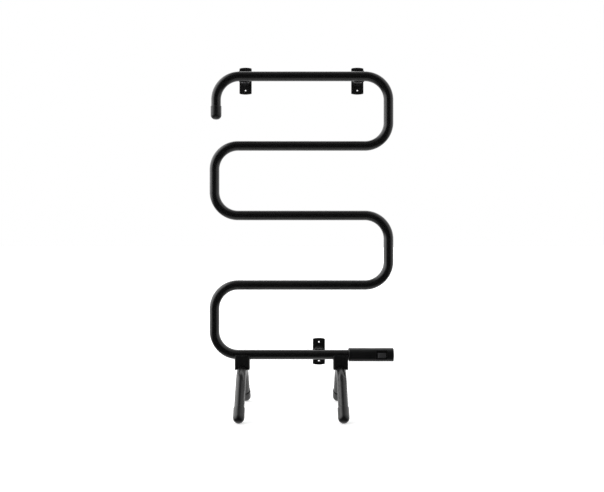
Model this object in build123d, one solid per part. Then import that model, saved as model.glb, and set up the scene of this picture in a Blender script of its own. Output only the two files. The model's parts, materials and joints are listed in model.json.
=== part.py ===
from build123d import *

import os
from math import cos, radians, sin, sqrt, tan

# An electric heated towel rail that stands on two feet or hangs on three wall brackets.
# One steel tube is bent into five bars, and a heating cable runs inside it from the control box.
# Millimetres. X runs to the right, Y away from the viewer towards the wall, Z up.
# The origin is on the floor, under the middle of the object's outline.

# Rail tube
overall_width = 476.5
tube_od = 25.0
tube_wall = 1.2
bend_radius = 61.0
bar_count = 5
bar_pitch = 180.0
bottom_bar_z = 147.0
free_end_inset = 4.0
free_end_drop = 102.6

# Cap on the free end of the rail tube
end_cap_wall = 1.4
end_cap_length = 34.6
end_cap_floor = 9.0
end_cap_round = 11.5
cap_rim_round = 0.8

# Clearances, each on the radius or on one side
fit_gap = 0.15
press_gap = 0.05
pivot_gap = 0.05
moving_gap = 0.3

# Rivet nuts in the rail tube, and the screws and bolts that go into them
thread_r = 2.5
thread_hole_r = 2.75
nut_body_r = 3.5
nut_bulge_r = 4.4
nut_bulge_depth = 2.3
nut_bulge_length = 2.2
nut_flange_r = 4.75
nut_flange = 0.8
nut_depth = 10.0
thread_reach = 6.0
screw_head_r = 4.6
screw_head = 3.2

# Wall brackets
wall_distance = 64.0
plate_width = 32.5
plate_height = 71.5
plate_thickness = 4.0
plate_crown = 2.2
plate_corner = 2.0
plate_edge = 1.0
wall_hole_spacing = 50.0
wall_hole_r = 2.0
wall_sink_r = 4.0
wall_sink_depth = 2.0
post_r = 12.0
post_fillet = 3.0
post_recess_r = 5.5
post_floor = 19.0
saddle_width = 26.0
saddle_wall = 1.8
saddle_lip = 1.0
saddle_edge = 0.8
left_bracket_past_bend = 11.5
right_bracket_past_bend = 14.9
bottom_bracket_to_foot = 54.2

# Feet
foot_wall = 1.5
foot_half_spread = 136.0
leg_angle = 45.0
foot_bend_radius = 98.0
foot_cap_r = 14.0
foot_cap_flat = 0.4
foot_cap_skirt = 26.5
foot_cap_seat = 4.0
left_foot_past_bend = 11.25
cradle_width = 38.0
cradle_wall = 2.6
cradle_rim_drop = 1.0
cradle_bottom_rise = 0.4
cradle_corner = 3.0
cradle_edge = 1.0
cradle_to_box = 2.1
flange_recess_r = 5.2
foot_washer_r = 7.0
foot_washer_below = 2.0
foot_washer_above = 1.5

# Control box
box_length = 116.75
box_height = 34.0
box_depth = 34.0
box_corner = 11.0
box_wall = 2.2
box_crown_r = 96.0
box_crown = 1.5
box_end_round = 1.5
box_overhang = 1.25
box_split_y = 2.0
tube_insertion = 24.0
box_fix_inset = 12.0
fix_pad_r = 6.5
fix_recess_r = 5.0
fix_recess = 2.0
fix_head = 2.0
lip_inset = 32.0
lip_thickness = 1.0
lip_overlap = 1.8

# Seal where the tube enters the box
seal_neck = 1.15
seal_lip = 0.85
seal_outer_lip = 1.0
seal_inner_lip = 1.2

# Screws that hold the two shells of the box together
case_screw_inset = 6.5
case_screw_z = 10.5
case_screw_r = 1.45
case_screw_length = 16.0
case_head_r = 2.8
case_head = 2.0
case_recess_r = 3.1
case_recess_y = 9.0
case_boss_r = 2.9
case_seat_r = 3.6

# Inlet of the mains cord, in the back of the box
inlet_inset = 12.5
inlet_bore_r = 3.5
inlet_neck_r = 6.0
inlet_flange_r = 8.0
inlet_flange = 2.5
inlet_collar_r = 6.9
inlet_collar = 2.0
inlet_collar_gap = 0.4

# Control panel and the rocker switch behind it
switch_inset = 32.65
panel_width = 28.6
panel_height = 26.0
panel_proud = 0.5
panel_recess = 0.8
panel_rim = 2.3
pivot_depth = 5.0
rocker_half_width = 9.7
rocker_half_height = 6.1
rocker_face_middle = 5.3
rocker_face_end = 6.5
rocker_skirt = 3.0
rocker_core_half_width = 8.0
rocker_core_back = 1.8
rocker_stem = 3.2
rocker_stem_reach = 11.4
rocker_edge = 0.4
rocker_tilt = 8.0
pin_r = 1.2
pin_length = 1.8
housing_front_gap = 0.5
housing_half_width = 13.4
housing_wall = 2.0
housing_floor = 1.5
lever_behind_pivot = 12.0
lever_half_width = 7.5
lever_half_height = 2.0
lever_thickness = 0.8
lever_tilt = 6.0
lever_to_floor = 2.2
terminal_thickness = 0.8
terminal_half_height = 2.4
terminal_length = 4.8
contact_x = 6.5
contact_half_width = 1.5
contact_gap = 0.25

# Heating cable
cable_r = 3.0
cable_forward = 2.5
cable_up = 5.0
cable_short_of_end = 25.0
cable_past_tube = 4.0
end_seal_r = 4.2
end_seal_length = 14.0
lead_boot_length = 8.0
lead_spread = 1.6

# Thermal protector on the tube
protector_length = 14.0
protector_width = 6.0
protector_thickness = 3.2
protector_inset = 2.0
protector_lead_spread = 1.8

# Terminal block and its wires
block_start = 50.5
block_length = 16.0
block_thickness = 12.0
block_half_height = 12.0
block_back_y = 12.0
pole_pitch = 8.0
insert_r = 2.6
insert_bore_r = 1.75
insert_end_gap = 0.5
clamp_screw_r = 1.5
clamp_screw_inset = 4.0
block_pad_half_height = 5.0
block_pad_inset = 2.0
wire_r = 0.9
wire_bend = 2.0
wire_grip = 5.0

# Earth terminal under the tube
earth_inset = 4.0
earth_screw_r = 2.0
earth_screw_reach = 6.0
earth_head_r = 3.5
earth_head = 1.3
ring_r = 4.0
ring_thickness = 0.5
ring_neck_width = 4.0
ring_barrel_r = 1.7
ring_barrel_length = 4.4
ring_barrel_gap = 0.6

# Sizes that follow from the ones above
tube_r = tube_od / 2
tube_hole_r = tube_r + fit_gap
saddle_r = tube_hole_r + saddle_wall
top_bar_z = bottom_bar_z + (bar_count - 1) * bar_pitch
box_end_x = overall_width / 2
box_start_x = box_end_x - box_length
tube_end_x = box_start_x + tube_insertion
switch_x = box_end_x - switch_inset
block_x = box_start_x + block_start
block_end_x = block_x + block_length
rail_left_x = tube_r - overall_width / 2
rail_right_x = box_end_x - box_overhang - tube_r
free_end_on_left = bar_count % 2 == 1
free_end_x = rail_left_x + free_end_inset if free_end_on_left else rail_right_x - free_end_inset
top_left_x = free_end_x if free_end_on_left else rail_left_x
top_right_x = rail_right_x if free_end_on_left else free_end_x
free_end_z = top_bar_z - free_end_drop

left_bracket_x = top_left_x + bend_radius + left_bracket_past_bend
right_bracket_x = top_right_x - bend_radius - right_bracket_past_bend
left_foot_x = rail_left_x + bend_radius + left_foot_past_bend
right_foot_x = box_start_x - cradle_to_box - cradle_width / 2
bottom_bracket_x = right_foot_x - bottom_bracket_to_foot

foot_r = tube_r
foot_ball_z = foot_cap_r - foot_cap_flat
foot_peak_z = foot_ball_z + foot_half_spread / tan(radians(leg_angle))
foot_apex_z = foot_peak_z - foot_bend_radius * (1 / sin(radians(leg_angle)) - 1)
foot_under_z = foot_apex_z - foot_r
cradle_half_depth = tube_hole_r + cradle_wall
cradle_top_z = bottom_bar_z - cradle_rim_drop
cradle_bottom_z = foot_apex_z + cradle_bottom_rise

box_back_y = box_depth / 2
box_inner_y = box_back_y - box_wall
box_inner_z = box_height / 2 - box_wall
box_fix_x = box_start_x + box_fix_inset
case_screw_x = box_end_x - case_screw_inset
inlet_x = box_end_x - inlet_inset
pivot_y = pivot_depth - box_back_y
rocker_end_r = sqrt(rocker_half_width**2 + rocker_face_end**2)
rocker_well_r = rocker_end_r + moving_gap
rocker_well_half_height = rocker_half_height + moving_gap
housing_front_y = housing_front_gap - box_inner_y
housing_half_height = rocker_well_half_height + housing_wall
lever_y = pivot_y + lever_behind_pivot
housing_floor_y = lever_y + lever_to_floor
housing_back_y = housing_floor_y + housing_floor
terminal_end_y = housing_back_y + terminal_length
pole_y = block_back_y - block_thickness / 2
boot_x = tube_end_x + cable_past_tube
boot_end_x = boot_x + lead_boot_length
earth_x = tube_end_x - earth_inset
protector_x = tube_end_x - protector_inset - protector_length / 2
protector_end_x = protector_x + protector_length / 2
protector_radius = tube_r + moving_gap + protector_thickness / 2


def rod(start, end, radius):
    """Round bar from one point to another."""
    run = Vector(*end) - Vector(*start)
    along = (Align.CENTER, Align.CENTER, Align.MIN)
    return Plane(origin=start, z_dir=run) * Cylinder(radius, run.length, align=along)


def taper(start, end, start_radius, end_radius):
    """Cone from one point to another."""
    run = Vector(*end) - Vector(*start)
    along = (Align.CENTER, Align.CENTER, Align.MIN)
    return Plane(origin=start, z_dir=run) * Cone(start_radius, end_radius, run.length, align=along)


def block(low, high):
    """Box between its lowest and its highest corner."""
    size = [b - a for a, b in zip(low, high)]
    middle = [(a + b) / 2 for a, b in zip(low, high)]
    return Pos(*middle) * Box(*size)


def pipe(corners, corner_radius, radius, bore=0.0):
    """Round bar or tube along straight runs joined by arcs."""
    path = FilletPolyline(*corners, radius=corner_radius)
    start = Plane(origin=path @ 0, z_dir=path % 0)
    section = start * Circle(radius)
    if bore > 0:
        section -= start * Circle(bore)
    return sweep(section, path=path)


def rail_corners(bottom_end_x, free_end_height):
    """Corners of the rail's centre line, from the control box up to the free end."""
    corners = [(bottom_end_x, 0, bottom_bar_z)]
    for bar in range(bar_count - 1):
        bend_x = rail_left_x if bar % 2 == 0 else rail_right_x
        low_z = bottom_bar_z + bar * bar_pitch
        corners += [(bend_x, 0, low_z), (bend_x, 0, low_z + bar_pitch)]
    corners += [(free_end_x, 0, top_bar_z), (free_end_x, 0, free_end_height)]
    return corners


def foot_corners(x, trim):
    """Corners of a foot's centre line, with each end cut back by the trim."""
    angle = radians(leg_angle)
    end_y = foot_half_spread - trim * sin(angle)
    end_z = foot_ball_z + trim * cos(angle)
    return [(x, -end_y, end_z), (x, 0, foot_peak_z), (x, end_y, end_z)]


def nut_seats():
    """Point on the tube's axis and outward direction of every rivet nut."""
    back = Vector(0, 1, 0)
    down = Vector(0, 0, -1)
    seats = [(Vector(x, 0, z), back) for x, z in bracket_places().values()]
    seats += [(Vector(x, 0, bottom_bar_z), down) for x in (left_foot_x, right_foot_x)]
    seats.append((Vector(box_fix_x, 0, bottom_bar_z), back))
    return seats


def bracket_places():
    """Where each wall bracket holds the rail."""
    return {
        "top_left_wall_bracket": (left_bracket_x, top_bar_z),
        "top_right_wall_bracket": (right_bracket_x, top_bar_z),
        "bottom_wall_bracket": (bottom_bracket_x, bottom_bar_z),
    }


def rail_tube():
    """The bent tube, with holes for the rivet nuts and the earth screw."""
    corners = rail_corners(tube_end_x, free_end_z)
    tube = pipe(corners, bend_radius, tube_r, tube_r - tube_wall)
    for place, outward in nut_seats():
        tube -= rod(place + outward * (tube_r / 2), place + outward * tube_od, nut_body_r + press_gap)
    earth_low = (earth_x, 0, bottom_bar_z - tube_od)
    earth_high = (earth_x, 0, bottom_bar_z - tube_r / 2)
    tube -= rod(earth_low, earth_high, earth_screw_r + press_gap)
    return tube


def rivet_nuts():
    """Flanged nuts set in the tube's wall, each with a bulge behind the wall."""
    nuts = []
    for place, outward in nut_seats():
        inner_end = place + outward * (tube_r - nut_depth)
        surface = place + outward * tube_r
        flange_top = place + outward * (tube_r + nut_flange)
        bulge_top = place + outward * (tube_r - nut_bulge_depth)
        bulge_end = place + outward * (tube_r - nut_bulge_depth - nut_bulge_length)
        nut = rod(inner_end, surface, nut_body_r) + rod(surface, flange_top, nut_flange_r)
        nut += rod(bulge_end, bulge_top, nut_bulge_r)
        nut -= rod(inner_end, flange_top, thread_r + press_gap)
        nuts.append(nut)
    return Compound(children=nuts)


def rail_end_cap():
    """Round-nosed cap pushed over the tube's free end."""
    outer_r = tube_r + end_cap_wall
    low_z = free_end_z - end_cap_floor
    cap = rod((free_end_x, 0, low_z), (free_end_x, 0, low_z + end_cap_length), outer_r)
    rims = cap.edges().filter_by(GeomType.CIRCLE).sort_by(Axis.Z)
    cap = fillet(rims[0], end_cap_round)
    cap = fillet(cap.edges().filter_by(GeomType.CIRCLE).sort_by(Axis.Z)[-1], cap_rim_round)
    above = (free_end_x, 0, low_z + 2 * end_cap_length)
    return cap - rod((free_end_x, 0, free_end_z), above, tube_r + press_gap)


def bracket_plate():
    """Plate against the wall, with curved ends and softened front edges."""
    half_width = plate_width / 2
    half_height = plate_height / 2
    side = half_height - plate_crown
    outline = make_face(
        [
            ThreePointArc((-half_width, -side), (0, -half_height), (half_width, -side)),
            Line((half_width, -side), (half_width, side)),
            ThreePointArc((half_width, side), (0, half_height), (-half_width, side)),
            Line((-half_width, side), (-half_width, -side)),
        ]
    )
    outline = fillet(outline.vertices(), plate_corner)
    plate = extrude(Plane.XZ.offset(-wall_distance) * outline, amount=plate_thickness)
    return fillet(plate.faces().sort_by(Axis.Y)[0].edges(), plate_edge)


def wall_bracket(x, z):
    """Plate, round post and a saddle that holds the back half of the tube."""
    front_y = wall_distance - plate_thickness
    body = bracket_plate() + rod((0, 0, 0), (0, front_y, 0), post_r)
    foot = body.edges().filter_by(GeomType.CIRCLE)
    foot = foot.filter_by(lambda edge: abs(edge.radius - post_r) < press_gap)
    foot = foot.filter_by_position(Axis.Y, front_y - press_gap, front_y + press_gap)
    body = fillet(foot, post_fillet)
    saddle = rod((-saddle_width / 2, 0, 0), (saddle_width / 2, 0, 0), saddle_r)
    saddle = fillet(saddle.edges().filter_by(GeomType.CIRCLE), saddle_edge)
    body += saddle
    reach = saddle_r + wall_distance
    body -= block((-reach, -reach, -reach), (reach, -saddle_lip, reach))
    body -= rod((-reach, 0, 0), (reach, 0, 0), tube_hole_r)
    recess_y = tube_r + post_floor
    body -= rod((0, recess_y, 0), (0, reach, 0), post_recess_r)
    body -= rod((0, 0, 0), (0, reach, 0), thread_hole_r)
    body -= rod((0, 0, 0), (0, tube_r + nut_flange + fit_gap, 0), flange_recess_r)
    for hole_z in (-wall_hole_spacing / 2, wall_hole_spacing / 2):
        sink_end = (0, front_y + wall_sink_depth, hole_z)
        body -= rod((0, 0, hole_z), (0, reach, hole_z), wall_hole_r)
        body -= taper((0, front_y, hole_z), sink_end, wall_sink_r, wall_hole_r)
    return Pos(x, 0, z) * body


def bracket_screws():
    """Screws from the back of each post into the tube."""
    screws = []
    seat_y = tube_r + post_floor
    for x, z in bracket_places().values():
        screw = rod((x, tube_r - thread_reach, z), (x, seat_y, z), thread_r)
        screw += rod((x, seat_y, z), (x, seat_y + screw_head, z), screw_head_r)
        screws.append(screw)
    return Compound(children=screws)


def foot_tube(x):
    """One bent tube that makes the front leg and the rear leg of a foot."""
    corners = foot_corners(x, foot_cap_seat)
    tube = pipe(corners, foot_bend_radius, foot_r, foot_r - foot_wall)
    low = (x, 0, foot_under_z - foot_r)
    return tube - rod(low, (x, 0, bottom_bar_z), thread_hole_r)


def foot_cap(x, side):
    """Rubber cap with a ball end that has a small flat to stand on."""
    angle = radians(leg_angle)
    ball = Vector(x, side * foot_half_spread, foot_ball_z)
    upward = Vector(0, -side * sin(angle), cos(angle))
    skirt = rod(ball, ball + upward * foot_cap_skirt, foot_cap_r)
    skirt = fillet(skirt.edges().filter_by(GeomType.CIRCLE).sort_by(Axis.Z)[-1], cap_rim_round)
    cap = skirt + Pos(*ball) * Sphere(foot_cap_r)
    top = ball + upward * (2 * foot_cap_skirt)
    cap -= rod(ball + upward * foot_cap_seat, top, foot_r + press_gap)
    reach = 2 * foot_cap_r
    below = block((x - reach, ball.Y - reach, -reach), (x + reach, ball.Y + reach, 0))
    return cap - below


def foot_cradle(x):
    """Block between the bottom bar and a foot, hollowed to fit both."""
    low = (x - cradle_width / 2, -cradle_half_depth, cradle_bottom_z)
    high = (x + cradle_width / 2, cradle_half_depth, cradle_top_z)
    body = block(low, high)
    body = fillet(body.edges().filter_by(Axis.Z), cradle_corner)
    body = fillet(body.edges().group_by(Axis.Z)[-1], cradle_edge)
    body -= rod((x - cradle_width, 0, bottom_bar_z), (x + cradle_width, 0, bottom_bar_z), tube_hole_r)
    body -= pipe(foot_corners(x, foot_cap_seat), foot_bend_radius, foot_r + fit_gap)
    body -= rod((x, 0, foot_apex_z), (x, 0, bottom_bar_z), thread_hole_r)
    recess_z = bottom_bar_z - tube_r - nut_flange - fit_gap
    return body - rod((x, 0, recess_z), (x, 0, bottom_bar_z), flange_recess_r)


def foot_washers():
    """Saddle washers that let a flat bolt head bear on the round foot."""
    washers = []
    for x in (left_foot_x, right_foot_x):
        low = (x, 0, foot_under_z - foot_washer_below)
        washer = rod(low, (x, 0, foot_under_z + foot_washer_above), foot_washer_r)
        washer -= pipe(foot_corners(x, foot_cap_seat), foot_bend_radius, foot_r + press_gap)
        washer -= rod(low, (x, 0, foot_apex_z), thread_hole_r)
        washers.append(washer)
    return Compound(children=washers)


def foot_bolts():
    """Bolts from under each foot, through its cradle, into the rail tube."""
    bolts = []
    seat_z = foot_under_z - foot_washer_below
    tip_z = bottom_bar_z - tube_r + thread_reach
    for x in (left_foot_x, right_foot_x):
        head = rod((x, 0, seat_z - screw_head), (x, 0, seat_z), screw_head_r)
        head = fillet(head.edges().filter_by(GeomType.CIRCLE).sort_by(Axis.Z)[0], cap_rim_round)
        bolts.append(head + rod((x, 0, seat_z), (x, 0, tip_z), thread_r))
    return Compound(children=bolts)


def box_bar(shrink, start_x, end_x):
    """Rounded square bar along the control box, its faces moved in by the shrink."""
    section = RectangleRounded(box_depth - 2 * shrink, box_height - 2 * shrink, box_corner - shrink)
    start = Plane.YZ.offset(start_x) * Pos(0, bottom_bar_z)
    return extrude(start * section, amount=end_x - start_x)


def box_outside():
    """Closed outer form of the control box, with its bulged right-hand end."""
    body = box_bar(0, box_start_x, box_end_x)
    body &= Pos(box_end_x - box_crown_r, 0, bottom_bar_z) * Sphere(box_crown_r)
    body = fillet(body.faces().sort_by(Axis.X)[-1].edges(), box_end_round)
    return fillet(body.faces().sort_by(Axis.X)[0].edges(), box_end_round)


def box_walls():
    """The box as one hollow body, before it is split into its two shells."""
    inner_end_x = box_end_x - box_wall - box_crown
    walls = box_outside() - box_bar(box_wall, box_start_x + box_wall, inner_end_x)
    hole_start = (box_start_x - box_wall, 0, bottom_bar_z)
    hole_end = (box_start_x + 2 * box_wall, 0, bottom_bar_z)
    return walls - rod(hole_start, hole_end, tube_r + seal_neck + press_gap)


def split_half(body, front):
    """Part of a body in front of the parting plane of the box, or behind it."""
    reach = box_length
    middle = Vector((box_start_x + box_end_x) / 2, 0, bottom_bar_z)
    low = (middle.X - reach, -reach if front else box_split_y, middle.Z - reach)
    high = (middle.X + reach, box_split_y if front else reach, middle.Z + reach)
    return body & block(low, high)


def box_point(x, y, z):
    """Point given by its x, its y and its height above the tube's axis."""
    return (x, y, bottom_bar_z + z)


def case_screw_places():
    """Height above the tube's axis of each screw that joins the shells."""
    return (-case_screw_z, case_screw_z)


def control_box_front_shell():
    """Front shell, with the panel's window, screw bosses and locating strips."""
    shell = split_half(box_walls(), True)
    half_width = panel_width / 2 + fit_gap
    half_height = panel_height / 2 + fit_gap
    window_low = box_point(switch_x - half_width, -box_depth, -half_height)
    window_high = box_point(switch_x + half_width, -box_corner + box_wall, half_height)
    shell -= block(window_low, window_high)
    for z in case_screw_places():
        boss = rod(box_point(case_screw_x, -box_back_y, z), box_point(case_screw_x, box_split_y, z), case_boss_r)
        shell += boss & box_bar(box_wall / 2, box_start_x, box_end_x - box_wall)
        tip = box_point(case_screw_x, case_recess_y - case_screw_length, z)
        shell -= rod(tip, box_point(case_screw_x, box_depth, z), case_screw_r + press_gap)
    for side in (-1, 1):
        shell += locating_strip(side)
    return shell


def locating_strip(side):
    """Thin strip of the front shell that laps inside the rear shell."""
    start_x = box_start_x + box_wall + lip_inset
    end_x = switch_x - panel_width / 2 - box_wall
    inner = side * (box_inner_z - lip_thickness)
    rooted = side * (box_inner_z + box_wall / 2)
    lapped = side * (box_inner_z - fit_gap)
    root_y = box_split_y - lip_overlap
    root = block(*sorted_corners((start_x, root_y, inner), (end_x, box_split_y, rooted)))
    lap_end = (end_x, box_split_y + lip_overlap, lapped)
    lap = block(*sorted_corners((start_x, box_split_y, inner), lap_end))
    return Pos(0, 0, bottom_bar_z) * (root + lap)


def sorted_corners(first, second):
    """Lowest and highest corner of the box between two points."""
    low = tuple(min(a, b) for a, b in zip(first, second))
    high = tuple(max(a, b) for a, b in zip(first, second))
    return low, high


def control_box_rear_shell():
    """Rear shell, with the seats of its screws, the cord inlet and the terminal block's pad."""
    shell = split_half(box_walls(), False)
    for z in case_screw_places():
        seat = rod(box_point(case_screw_x, box_split_y, z), box_point(case_screw_x, box_back_y, z), case_seat_r)
        shell += seat & box_outside()
        outside = box_point(case_screw_x, box_depth, z)
        shell -= rod(box_point(case_screw_x, case_recess_y, z), outside, case_recess_r)
        shell -= rod(box_point(case_screw_x, 0, z), outside, case_screw_r + fit_gap)
    pad_front = box_point(box_fix_x, tube_r + nut_flange + fit_gap, 0)
    pad_back = box_point(box_fix_x, box_back_y - box_wall / 2, 0)
    shell += rod(pad_front, pad_back, fix_pad_r)
    fix_outside = box_point(box_fix_x, box_depth, 0)
    shell -= rod(box_point(box_fix_x, 0, 0), fix_outside, thread_hole_r)
    shell -= rod(box_point(box_fix_x, box_back_y - fix_recess, 0), fix_outside, fix_recess_r)
    shell -= rod(box_point(inlet_x, 0, 0), box_point(inlet_x, box_depth, 0), inlet_neck_r + press_gap)
    pad_low = box_point(block_x + block_pad_inset, block_back_y, -block_pad_half_height)
    pad_high = box_point(block_end_x - block_pad_inset, box_back_y - box_wall / 2, block_pad_half_height)
    return shell + block(pad_low, pad_high)


def case_screws():
    """Screws from the back that join the two shells."""
    screws = []
    for z in case_screw_places():
        tip = box_point(case_screw_x, case_recess_y - case_screw_length, z)
        seat = box_point(case_screw_x, case_recess_y, z)
        head = box_point(case_screw_x, case_recess_y + case_head, z)
        screws.append(rod(tip, seat, case_screw_r) + rod(seat, head, case_head_r))
    return Compound(children=screws)


def box_fix_screw():
    """Screw that fixes the rear shell to the rail tube."""
    seat_y = box_back_y - fix_recess
    tip = box_point(box_fix_x, tube_r - thread_reach, 0)
    seat = box_point(box_fix_x, seat_y, 0)
    screw = rod(tip, seat, thread_r)
    return screw + rod(seat, box_point(box_fix_x, seat_y + fix_head, 0), screw_head_r)


def tube_entry_seal():
    """Rubber ring, grooved to sit in the box wall round the tube."""
    lip_r = tube_r + seal_neck + seal_lip
    inner_x = box_start_x + box_wall
    seal = rod(box_point(box_start_x, 0, 0), box_point(inner_x, 0, 0), tube_r + seal_neck)
    seal += rod(box_point(box_start_x - seal_outer_lip, 0, 0), box_point(box_start_x, 0, 0), lip_r)
    seal += rod(box_point(inner_x, 0, 0), box_point(inner_x + seal_inner_lip, 0, 0), lip_r)
    bore_start = box_point(box_start_x - box_wall, 0, 0)
    return seal - rod(bore_start, box_point(inner_x + box_wall, 0, 0), tube_r + press_gap)


def cord_inlet_grommet():
    """Rubber grommet in the back wall, open for a mains cord."""
    collar_y = box_inner_y - inlet_collar_gap
    collar_front = box_point(inlet_x, collar_y - inlet_collar, 0)
    grommet = rod(collar_front, box_point(inlet_x, collar_y, 0), inlet_collar_r)
    grommet += rod(box_point(inlet_x, collar_y, 0), box_point(inlet_x, box_back_y, 0), inlet_neck_r)
    flange_back = box_point(inlet_x, box_back_y + inlet_flange, 0)
    flange = rod(box_point(inlet_x, box_back_y, 0), flange_back, inlet_flange_r)
    grommet += fillet(flange.edges().filter_by(GeomType.CIRCLE).sort_by(Axis.Y)[-1], cap_rim_round)
    return grommet - rod(collar_front, flange_back, inlet_bore_r)


def rocker_well():
    """Round space that the rocker swings in."""
    low = box_point(switch_x, pivot_y, -rocker_well_half_height)
    return rod(low, box_point(switch_x, pivot_y, rocker_well_half_height), rocker_well_r)


def control_panel():
    """Framed insert that follows the front of the box, with an opening for the rocker."""
    start_x = switch_x - panel_width / 2
    end_x = switch_x + panel_width / 2
    skin = box_bar(-panel_proud, start_x, end_x) - box_bar(box_wall, start_x, end_x)
    low = box_point(start_x, -box_depth, -panel_height / 2)
    high = box_point(end_x, -box_corner + box_wall, panel_height / 2)
    panel = skin & block(low, high)
    field_depth = panel_recess - panel_proud
    field = box_bar(-2 * panel_proud, start_x + panel_rim, end_x - panel_rim)
    field -= box_bar(field_depth, start_x, end_x)
    field_low = box_point(start_x, -box_depth, panel_rim - panel_height / 2)
    field_high = box_point(end_x, -box_corner + box_wall, panel_height / 2 - panel_rim)
    panel -= field & block(field_low, field_high)
    return panel - rocker_well()


def switch_housing():
    """Open-fronted housing that carries the rocker's pins and the terminals."""
    low = box_point(switch_x - housing_half_width, housing_front_y, -housing_half_height)
    high = box_point(switch_x + housing_half_width, housing_back_y, housing_half_height)
    body = block(low, high)
    inner = housing_half_width - housing_wall / 2
    pocket_low = box_point(switch_x - inner, pivot_y + rocker_skirt, -rocker_well_half_height)
    pocket_high = box_point(switch_x + inner, housing_floor_y, rocker_well_half_height)
    body -= block(pocket_low, pocket_high)
    body -= rocker_well()
    front_low = box_point(switch_x - inner, housing_front_y, -rocker_well_half_height)
    front_high = box_point(switch_x + inner, pivot_y + rocker_skirt, rocker_well_half_height)
    body -= block(front_low, front_high)
    pin_reach = housing_half_height + housing_wall
    pin_low = box_point(switch_x, pivot_y, -pin_reach)
    body -= rod(pin_low, box_point(switch_x, pivot_y, pin_reach), pin_r + pivot_gap)
    for slot_x in terminal_places():
        half = terminal_thickness / 2 + press_gap
        height = terminal_half_height + press_gap
        slot_low = box_point(slot_x - half, lever_y, -height)
        body -= block(slot_low, box_point(slot_x + half, box_back_y, height))
    return body


def terminal_places():
    """Middle of each switch terminal's tab, along the box."""
    right_tab_x = switch_x + contact_x + contact_half_width - terminal_thickness / 2
    return (switch_x, right_tab_x)


def switch_rocker():
    """Rocker with end faces round its pivot, pins and a stem; drawn level, then tilted to off."""
    skirt_x = sqrt(rocker_end_r**2 - rocker_skirt**2)
    arc_angle = radians(26)
    arc_x = rocker_end_r * cos(arc_angle)
    arc_y = rocker_end_r * sin(arc_angle)
    half = rocker_half_width
    core = rocker_core_half_width
    stem = rocker_stem / 2
    outline = make_face(
        [
            ThreePointArc((-half, -rocker_face_end), (0, -rocker_face_middle), (half, -rocker_face_end)),
            ThreePointArc((half, -rocker_face_end), (arc_x, -arc_y), (skirt_x, -rocker_skirt)),
            Line((skirt_x, -rocker_skirt), (core, -rocker_skirt)),
            Line((core, -rocker_skirt), (stem, rocker_core_back)),
            Line((stem, rocker_core_back), (-stem, rocker_core_back)),
            Line((-stem, rocker_core_back), (-core, -rocker_skirt)),
            Line((-core, -rocker_skirt), (-skirt_x, -rocker_skirt)),
            ThreePointArc((-skirt_x, -rocker_skirt), (-arc_x, -arc_y), (-half, -rocker_face_end)),
        ]
    )
    body = extrude(outline, amount=rocker_half_height, both=True)
    body = fillet(body.faces().sort_by(Axis.Y)[0].edges(), rocker_edge)
    pin_end = rocker_half_height + pin_length
    body += rod((0, 0, -pin_end), (0, 0, pin_end), pin_r)
    tip_y = rocker_stem_reach - stem
    body += rod((0, 0, 0), (0, tip_y, 0), stem) + Pos(0, tip_y, 0) * Sphere(stem)
    return Pos(*box_point(switch_x, pivot_y, 0)) * Rot(0, 0, rocker_tilt) * body


def switch_contact_lever():
    """Contact lever that rocks on the middle terminal; drawn level, then tilted to open."""
    half = lever_thickness / 2
    low = (-lever_half_width, -half, -lever_half_height)
    body = block(low, (lever_half_width, half, lever_half_height))
    return Pos(*box_point(switch_x, lever_y, 0)) * Rot(0, 0, -lever_tilt) * body


def switch_terminals():
    """Middle terminal that carries the lever, and the right one that it touches when on."""
    half = terminal_thickness / 2
    middle_x, right_x = terminal_places()
    fulcrum_y = lever_y + lever_thickness / 2 + 2 * pivot_gap
    middle_low = box_point(middle_x - half, fulcrum_y, -terminal_half_height)
    middle = block(middle_low, box_point(middle_x + half, terminal_end_y, terminal_half_height))
    tilt = radians(lever_tilt)
    contact_y = lever_y + lever_thickness / 2 / cos(tilt) + (contact_x + contact_half_width) * tan(tilt)
    pad_low = box_point(switch_x + contact_x - contact_half_width, contact_y + contact_gap, -lever_half_height)
    pad_high = box_point(switch_x + contact_x + contact_half_width, housing_floor_y, lever_half_height)
    tab_low = box_point(right_x - half, contact_y + contact_gap, -terminal_half_height)
    tab = block(tab_low, box_point(right_x + half, terminal_end_y, terminal_half_height))
    return Compound(children=[middle, block(pad_low, pad_high) + tab])


def heating_cable():
    """Twin-core heating cable along the whole tube, clear of the rivet nuts."""
    corners = rail_corners(boot_x, free_end_z + cable_short_of_end - cable_up)
    return Pos(0, -cable_forward, cable_up) * pipe(corners, bend_radius, cable_r)


def heating_cable_end_seal():
    """Moulded seal on the cable's far end."""
    top_z = free_end_z + cable_short_of_end
    top = (free_end_x, -cable_forward, top_z)
    return rod((free_end_x, -cable_forward, top_z - end_seal_length), top, end_seal_r)


def heating_cable_lead_boot():
    """Boot where the cable's two leads come out, inside the box."""
    start = box_point(boot_x, -cable_forward, cable_up)
    return rod(start, box_point(boot_end_x, -cable_forward, cable_up), end_seal_r)


def thermal_protector():
    """Small metal can that lies on the tube and senses its heat."""
    can = Box(protector_length, protector_width, protector_thickness)
    can = fillet(can.edges().filter_by(Axis.X), cap_rim_round)
    return Pos(protector_x, 0, bottom_bar_z) * Rot(45, 0, 0) * Pos(0, 0, protector_radius) * can


def protector_lead(side):
    """Y and Z, from the tube's axis, of one of the protector's leads."""
    angle = radians(45)
    y = side * protector_lead_spread * cos(angle) - protector_radius * sin(angle)
    z = side * protector_lead_spread * sin(angle) + protector_radius * cos(angle)
    return y, z


def wire(points):
    """Insulated wire through points given from the tube's axis."""
    return pipe([box_point(*point) for point in points], wire_bend, wire_r)


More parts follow.
